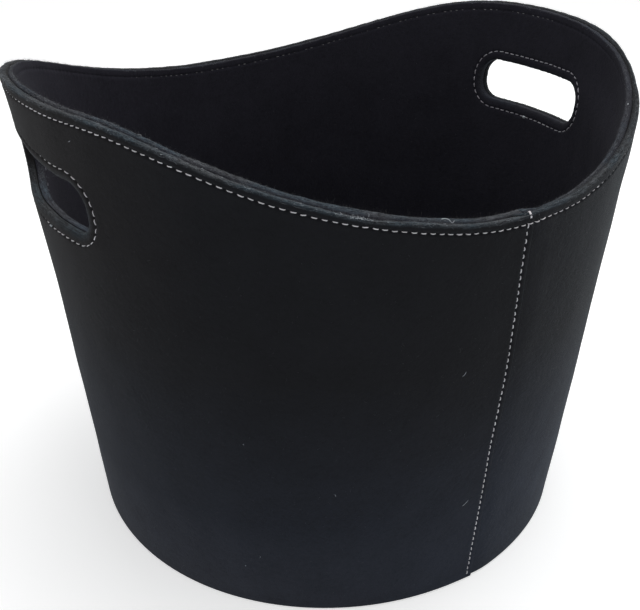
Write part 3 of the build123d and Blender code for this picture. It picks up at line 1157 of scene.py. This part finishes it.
def felt_material(name, dark, light, cut_color, sheen, foot_bounce_light_tint, left_foot_light_tint, upper_left_light_and_shade_tint):
    """Pressed wool: a mat of crossing fibres over soft mottling, paler and streaked where it is cut, with
    light and shade painted in by place through the tints.
    """
    m = Nodes(name)
    where = m.attribute("flat", "Vector")

    # Crossing fibres over grain, pills and clouds
    curl = m.new("ShaderNodeTexNoise", ("Vector", where), ("Scale", 330.0)).outputs["Color"]
    bent = m.new("ShaderNodeVectorMath")
    bent.operation = "MULTIPLY_ADD"
    for value in enumerate((curl, (0.0035, 0.0035, 0.0), where)):
        m.put(bent, value)
    fibres = None
    for i, angle in enumerate((8, 49, 96, 141)):
        stretched = m.mapped(bent.outputs[0], (1.0, 4.5, 1.0), angle)
        wave = m.noise(stretched, 1250.0 - 130 * i, 2.0, 0.5, 0.4)
        ridge = m.math("ABSOLUTE", m.math("SUBTRACT", wave, 0.5))
        line = m.ranged(ridge, 0.0, 0.07, 1.0, 0.0)
        fibres = m.math("MAXIMUM", fibres, m.product(line, 0.95 - 0.1 * i)) if i else line
    grain = m.noise(where, 1900.0, 3.0, 0.6)
    pills = m.noise(where, 260.0, 4.0, 0.6, 0.4)
    clouds = m.noise(where, 34.0, 4.0, 0.55)
    weather = m.noise(where, 7.0, 2.0, 0.5)
    tone = m.weighted((fibres, 0.30), (grain, 0.22), (pills, 0.34), (clouds, 0.40), (weather, 0.30))
    tone = m.ranged(tone, 0.50, 0.98)

    def shades(tint):
        return m.mix(tone, tinted(dark, tint), tinted(light, tint))

    # Places on the flat felt, in metres. Paler and bluer towards the foot: painted floor light. Paler still
    # at the left front's foot:
    # more painted floor light. Warmer at the upper left: painted warm light, painted shade on the lining.
    # Darker beside the seam: painted shade.
    flat = m.new("ShaderNodeSeparateXYZ", ("Vector", where)).outputs
    left_front = m.product(m.ranged(flat["X"], 0.5, 0.9), m.ranged(flat["X"], 1.22, 1.0))
    right_front = m.product(m.ranged(flat["X"], 0.30, 0.10), 0.4)
    share = m.math("ADD", m.ranged(left_front, 0.0, 1.0, 0.97, 0.82), right_front)
    # Painted floor light: paler and bluer towards the foot, fading out 0.19 m up, its share set by place
    # round the wall
    foot_bounce_light = m.product(m.ranged(flat["Y"], 0.005, 0.19, 1.0, 0.0), share)
    # More painted floor light at the left front's foot
    left_foot_light = m.product(left_front, m.ranged(flat["Y"], 0.005, 0.075, 1.0, 0.0))
    # Painted warm light at the upper left of the outer felt; the lining's tint makes it painted shade there
    upper_left_light_and_shade = m.product(m.ranged(flat["X"], 1.05, 0.95), m.ranged(flat["Y"], 0.17, 0.26))
    upper_left_light_and_shade = m.product(upper_left_light_and_shade, m.ranged(flat["X"], 0.55, 0.8))
    # Painted shade beside the seam
    seam_shade = m.product(m.ranged(flat["X"], 1.12, 1.19), m.ranged(flat["Y"], 0.11, 0.20), 0.75)
    body = shades(1.0)
    for amount, tint in ((foot_bounce_light, foot_bounce_light_tint), (left_foot_light, left_foot_light_tint), (upper_left_light_and_shade, upper_left_light_and_shade_tint), (seam_shade, 0.72)):
        body = m.mix(amount, body, shades(tint))

    # Cut edges: streaks along the rim in two hues, with pale and dark specks
    streaks = m.noise(m.mapped(where, (7.0, 1.0, 1.0), 0), 1150.0, 4.0, 0.65)
    specks = m.noise(where, 1700.0, 2.0, 0.6)
    cut = m.attribute("cut", "Fac")
    streaked = m.ranged(streaks, 0.36, 0.66)
    hue = m.ranged(m.noise(where, 28.0, 2.0, 0.5), 0.42, 0.58)
    plain = m.mix(streaked, tinted(cut_color, 0.16), tinted(cut_color, 2.1))
    bluish = m.mix(streaked, tinted(cut_color, (0.17, 0.22, 0.28)), tinted(cut_color, (1.6, 2.0, 2.2)))
    frayed = m.mix(hue, plain, bluish)
    frayed = m.mix(m.ranged(specks, 0.61, 0.72, 0.0, 0.5), frayed, tinted(cut_color, 3.2))
    frayed = m.mix(m.ranged(specks, 0.30, 0.38, 0.7, 0.0), frayed, tinted(cut_color, 0.15))
    rough = m.math("ADD", pills, m.product(fibres, 0.5))
    color = m.mix(m.product(cut, m.ranged(rough, 0.35, 0.95, 0.55, 1.0)), body, frayed)

    relief = m.weighted((fibres, 0.5), (grain, 0.6), (m.product(streaks, cut), 2.2))
    fine = m.bump(relief, 0.00022, 0.55)
    normal = m.bump(m.math("ADD", pills, m.product(clouds, 0.8)), 0.0007, 0.5, fine)
    m.set(Roughness=0.92, Sheen_Weight=sheen, Sheen_Roughness=0.45)
    m.set(Sheen_Tint=(0.93, 0.96, 1.0, 1), Specular_IOR_Level=0.14)
    return m.finish(color, normal)


def thread_material(name, clean, soiled):
    """Sewing thread, a little soiled, with the fine lay of its filaments."""
    m = Nodes(name)
    where = m.new("ShaderNodeTexCoord").outputs["Object"]
    soil = m.noise(where, 45.0, 4.0, 0.6)
    fine = m.noise(where, 5200.0, 2.0, 0.6)
    color = m.mix(m.ranged(soil, 0.38, 0.72), (*clean, 1), (*soiled, 1))
    m.set(Roughness=0.55, Sheen_Weight=0.15, Specular_IOR_Level=0.35)
    return m.finish(color, m.bump(fine, 0.00006, 0.5))


def board_material():
    """Raw hardboard: brown pressed fibre with darker flecks."""
    m = Nodes("hardboard")
    where = m.new("ShaderNodeTexCoord").outputs["Object"]
    flecks = m.noise(m.mapped(where, (1.0, 3.0, 1.0), 25), 420.0, 5.0, 0.65)
    broad = m.noise(where, 22.0, 3.0, 0.5)
    tone = m.weighted((flecks, 0.7), (broad, 0.3))
    color = m.mix(m.ranged(tone, 0.35, 0.68), (0.15, 0.09, 0.05, 1), (0.30, 0.20, 0.12, 1))
    m.set(Roughness=0.7)
    return m.finish(color, m.bump(flecks, 0.0002, 0.6))


def felt_disc(name, inset, bottom, top, material, seed):
    """Round felt of the base: a low uneven disc with rounded cut edges."""
    around = 240
    angle = np.arange(around) / around * TURN
    swell = ripples(seed, 18, (1, 7), 0.9, 0.35)
    rough = ripples(seed + 1, 30, (9, 90), 0.12, 0.03)
    shares = (0.04, 0.12, 0.2, 0.28, 0.36, 0.44, 0.52, 0.60, 0.68, 0.76, 0.83, 0.89, 0.935, 0.965)

    # Profile over the top, the edge and the underside: share of the radius, how far drawn in, height, cut
    rounding = 1.1
    profile = [(r, rounding, top, 0.0) for r in shares]
    for level, way, degrees in ((top, -1, (90, 60, 30, 0)), (bottom, 1, (0, 30, 60, 90))):
        for a in np.radians(degrees):
            cut = 1 - math.sin(a)
            profile.append((1.0, rounding - rounding * math.cos(a), level + way * rounding * cut, cut))
    profile += [(r, rounding, bottom, 0.0) for r in reversed(shares)]

    points, cuts = [], []
    for r, draw, z, cut in profile:
        a = half_length(z) - inset - draw
        b = half_width(z) - inset - draw
        upper = z > (top + bottom) / 2
        lift = (0.35 * swell(angle, r) + 0.08 * rough(angle, r)) * upper * (1 - r**6)
        points.append(np.stack([a * r * np.cos(angle), b * r * np.sin(angle), z - 0.45 * upper + lift], -1))
        cuts.append(np.full(around, cut))
    rows = np.arange(len(profile) * around).reshape(-1, around)
    after = np.roll(rows, -1, 1)
    faces = np.stack([rows[:-1], after[:-1], after[1:], rows[1:]], -1).reshape(-1, 4).tolist()
    centre = len(profile) * around
    faces += [[int(b), int(a), centre] for a, b in zip(rows[0], after[0])]
    faces += [[int(a), int(b), centre + 1] for a, b in zip(rows[-1], after[-1])]
    points = np.concatenate(points + [np.array([[0, 0, top - 0.4], [0, 0, bottom]])])
    cuts = np.concatenate(cuts + [np.zeros(2)])
    piece = mesh_object(name, points, faces, material, cuts, points + [0, 1000, 0])
    turn_faces_out(piece)
    return piece


def shown_apart(tree, lighting, seen, output):
    """Ends a node tree with one shader that lights, and another for the camera, mirrors and clear things."""
    rays = tree.nodes.new("ShaderNodeLightPath").outputs
    direct = rays["Is Camera Ray"]
    for kind in ("Is Glossy Ray", "Is Transmission Ray"):
        either = tree.nodes.new("ShaderNodeMath")
        either.operation = "MAXIMUM"
        tree.links.new(direct, either.inputs[0])
        tree.links.new(rays[kind], either.inputs[1])
        direct = either.outputs[0]
    blend = tree.nodes.new("ShaderNodeMixShader")
    for i, source in enumerate((direct, lighting.outputs[0], seen.outputs[0])):
        tree.links.new(source, blend.inputs[i])
    tree.links.new(blend.outputs[0], tree.nodes[output].inputs[0])


def lamp(name, place, aim, size, power, color):
    """Rectangular lamp that looks at its aim."""
    data = bpy.data.lights.new(name, "AREA")
    data.shape = "RECTANGLE"
    data.size, data.size_y = size
    data.energy = power
    data.color = color
    thing = bpy.data.objects.new(name, data)
    thing.location = place
    thing.rotation_mode = "QUATERNION"
    thing.rotation_quaternion = (Vector(aim) - Vector(place)).to_track_quat("-Z", "Y")
    bpy.context.scene.collection.objects.link(thing)


# Both felts: colours, cut colour, sheen, then tints of painted light and shade: floor light at the foot, more
# floor light at the left front's foot, and warm light at the upper left, which on the lining is painted shade
outer_felt = felt_material(
    "outer_felt", (0.0056, 0.0057, 0.0067), (0.0125, 0.0127, 0.0149), (0.053, 0.057, 0.062), 0.055,
    (2.15, 2.5, 3.1), (4.1105, 4.275, 4.557), (1.35, 1.15, 0.95),
)
# The lining is the same black felt as the outer one; its colours are set about twice as light: painted light
# for the shaded inside
inner_felt = felt_material(
    "inner_felt", (0.0121, 0.0118, 0.0166), (0.0265, 0.0259, 0.0356), (0.054, 0.057, 0.063), 0.015,
    1.0, 1.47, (0.95, 0.92, 0.95),
)
thread = thread_material("white_thread", (0.91, 0.86, 0.88), (0.69, 0.65, 0.66))
ring_thread = thread_material("handle_thread_inside", (0.48, 0.47, 0.52), (0.24, 0.23, 0.27))
dim_thread = thread_material("grey_thread", (0.22, 0.22, 0.23), (0.10, 0.10, 0.10))
lint_material = thread_material("lint", (0.62, 0.66, 0.70), (0.34, 0.36, 0.39))
fluff = thread_material("fluff", (0.20, 0.215, 0.235), (0.055, 0.058, 0.063))
wool = thread_material("wool_fibres", (0.085, 0.088, 0.096), (0.030, 0.031, 0.034))
board = board_material()

lap_start = float(turn_at(-LAP, MIDDLE_HEIGHT))
butt = float(turn_at(-SEAM_INSET, MIDDLE_HEIGHT))
half_gap = 0.0008
butt_ends = (butt + half_gap, butt + TURN - half_gap)
outer = Felt(OUTER_FACE, OUTER_BACK, (lap_start, TURN), 0.0, True)
inner = Felt(LINING_FACE, LINING_BACK, butt_ends, BOARD_TOP, False)
dress(felt_wall("outer_wall_cloth", outer_felt, outer), "outer_wall_felt")
dress(felt_wall("inner_wall_cloth", inner_felt, inner), "inner_wall_felt")

# The base: both felts and, between them, the board's own solid
underside = felt_disc("base_outer_cloth", 5.3, 0.0, 5.4, outer_felt, 21)
dress(underside, "base_outer_felt")
log_floor = felt_disc("base_inner_cloth", 10.6, BOARD_TOP, FLOOR_TOP, inner_felt, 31)
dress(log_floor, "base_inner_felt")
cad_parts["base_board"].material_slots[0].material = board

# Both handles' rings. The left one is drawn in at its far end
for side, name in ((1, "right"), (-1, "left")):
    spots, _ = slot_point((np.arange(SLOT_STITCHES) + 0.5) / SLOT_STITCHES, SLOT_MARGIN)
    far = spots[:, 0] + np.where(spots[:, 1] > 0, 30, 4)
    drawn_in = 0.56 * smooth(far / 8) + 0.22 * smooth((far - 12) / 14) if side < 0 else 0.0
    width = 0.54 if side < 0 else THREAD_WIDTH
    outside = stitches(slot_row(side, OUTER_FACE), SLOT_STITCHES, 0.66, True, 45 + side, width, drawn_in)
    make_piece(f"{name}_handle_stitches", f"{name}_handle_thread", "thread", thread, outside)
    sunk = 0.08 if side > 0 else 0.34
    inside = stitches(slot_row(side, LINING_FACE), SLOT_STITCHES, 0.72, False, 55 + side, 0.74, sunk, 0.10)
    make_piece(f"{name}_handle_stitches_inside", f"{name}_handle_thread", "thread", ring_thread, inside)

# The rim's row is drawn in at the right of the seam and at the far left. On the lining it is free at the back
row_degrees = np.degrees(rim_turn(np.arange(RIM_STITCHES) + 0.5)) % 360
right_front = smooth(row_degrees / 6) * (1 - smooth((row_degrees - 70) / 20))
far_left = smooth((278 - row_degrees) / 8) * smooth((row_degrees - 240) / 10)
to_seam = smooth((row_degrees - 322) / 14)
rim_width = THREAD_WIDTH * (1 - 0.30 * right_front - 0.15 * far_left - 0.14 * to_seam)
rim_sunk = 0.10 * right_front + 0.42 * smooth((row_degrees - 11) / 10) * right_front + 0.50 * far_left
outside = stitches(rim_row, RIM_STITCHES, 0.64, True, 41, rim_width, rim_sunk)
make_piece("rim_stitches", "rim_thread", "thread", thread, outside)
free = smooth((row_degrees - 78) / 14) * (1 - smooth((row_degrees - 192) / 16))
inside = stitches(rim_row, RIM_STITCHES, 0.55, False, 42, 0.50, 0.46 - 0.26 * free, 0.16)
make_piece("rim_stitches_inside", "rim_thread", "thread", dim_thread, inside)

# The seam's row, outside and inside, with its last stitch over the rim
outside = stitches(seam_row, SEAM_STITCHES, 0.60, True, 43, 0.66)
inside = stitches(lining_seam_row, SEAM_STITCHES - 5, 0.56, False, 44, 0.56, 0.1)
make_piece("seam_stitches", "seam_thread", "thread", thread, outside, inside, over_the_rim())

# Lint and loose wool. The first three groups of fibres grow on the cut edges, the last on the face
make_piece("lint", "rim_thread", "thread", lint_material, *lint())
make_piece("rim_tufts", "outer_wall_felt", "outer_felt", fluff, tufts(63))
for side, outward, seed in (("outer", True, 61), ("inner", False, 62)):
    groups = fibres(outward, seed)
    for spot, grown in (("edge", groups[:3]), ("face", groups[3:])):
        make_piece(f"{side}_{spot}_fibres", f"{side}_wall_felt", f"{side}_felt", wool, *grown)

# Floor, light and camera
bpy.ops.mesh.primitive_plane_add(size=60, location=(0, 0, -0.0003))
floor = bpy.context.object
floor.name = "floor"
studio = Nodes("floor")
studio.set(Roughness=0.9)
where = studio.new("ShaderNodeTexCoord").outputs["Object"]
paper = studio.mix(studio.noise(where, 3.0, 2.0), (0.82, 0.90, 0.98, 1), (0.84, 0.92, 1.0, 1))
studio.put(studio.shader, ("Base Color", paper))
seen = studio.new(
    "ShaderNodeBsdfPrincipled",
    ("Base Color", (0.90, 0.90, 0.90, 1)),
    ("Roughness", 0.9),
    ("Emission Color", (1, 1, 1, 1)),
    ("Emission Strength", 0.52),
)
shown_apart(studio.tree, studio.shader, seen, "Material Output")
floor.data.materials.append(studio.material)

world = bpy.data.worlds.new("studio")
bpy.context.scene.world = world
world.use_nodes = True
sky = world.node_tree.nodes["Background"]
sky.inputs[0].default_value = (0.98, 0.99, 1.0, 1)
sky.inputs[1].default_value = 0.42
white = world.node_tree.nodes.new("ShaderNodeBackground")
white.inputs[0].default_value = (1, 1, 1, 1)
shown_apart(world.node_tree, sky, white, "World Output")

lamp("overhead", (0.25, 0.0, 1.7), (0, 0, 0), (1.1, 1.1), 14, (1, 1, 1))
lamp("right_side", (1.4, 0.1, 0.02), (0, 0, 0.04), (0.8, 0.34), 6.0, (0.82, 0.95, 1.0))

# The camera: its angles, its distance from what it aims at, its focal length in pixels, and where it aims:
# to the right of the tub's axis, and how high
AZIMUTH, ELEVATION, ROLL = math.radians(33.609), math.radians(29.474), math.radians(0.498)
DISTANCE, FOCAL, PICTURE_WIDTH = 685.443, 876.609, 640
AIM_RIGHT, AIM_HEIGHT = -6.408, 333.436 / 2 - 34.539
SENSOR = 36
level = math.cos(ELEVATION)
back = Vector((-math.sin(AZIMUTH) * level, -math.cos(AZIMUTH) * level, math.sin(ELEVATION)))
target = Vector((AIM_RIGHT * math.cos(AZIMUTH), -AIM_RIGHT * math.sin(AZIMUTH), AIM_HEIGHT))
place = (target + back * DISTANCE) * MM
ahead = -back
right = ahead.cross(Vector((0, 0, 1))).normalized()
up = right.cross(ahead)
right, up = right * math.cos(ROLL) + up * math.sin(ROLL), up * math.cos(ROLL) - right * math.sin(ROLL)
camera_data = bpy.data.cameras.new("camera")
camera_data.lens = FOCAL / PICTURE_WIDTH * SENSOR
camera_data.sensor_width = SENSOR
camera = bpy.data.objects.new("camera", camera_data)
camera.matrix_world = Matrix((*zip(right, up, back, place), (0, 0, 0, 1)))
bpy.context.scene.collection.objects.link(camera)
bpy.context.scene.camera = camera
bpy.context.scene.view_settings.view_transform = "Standard"
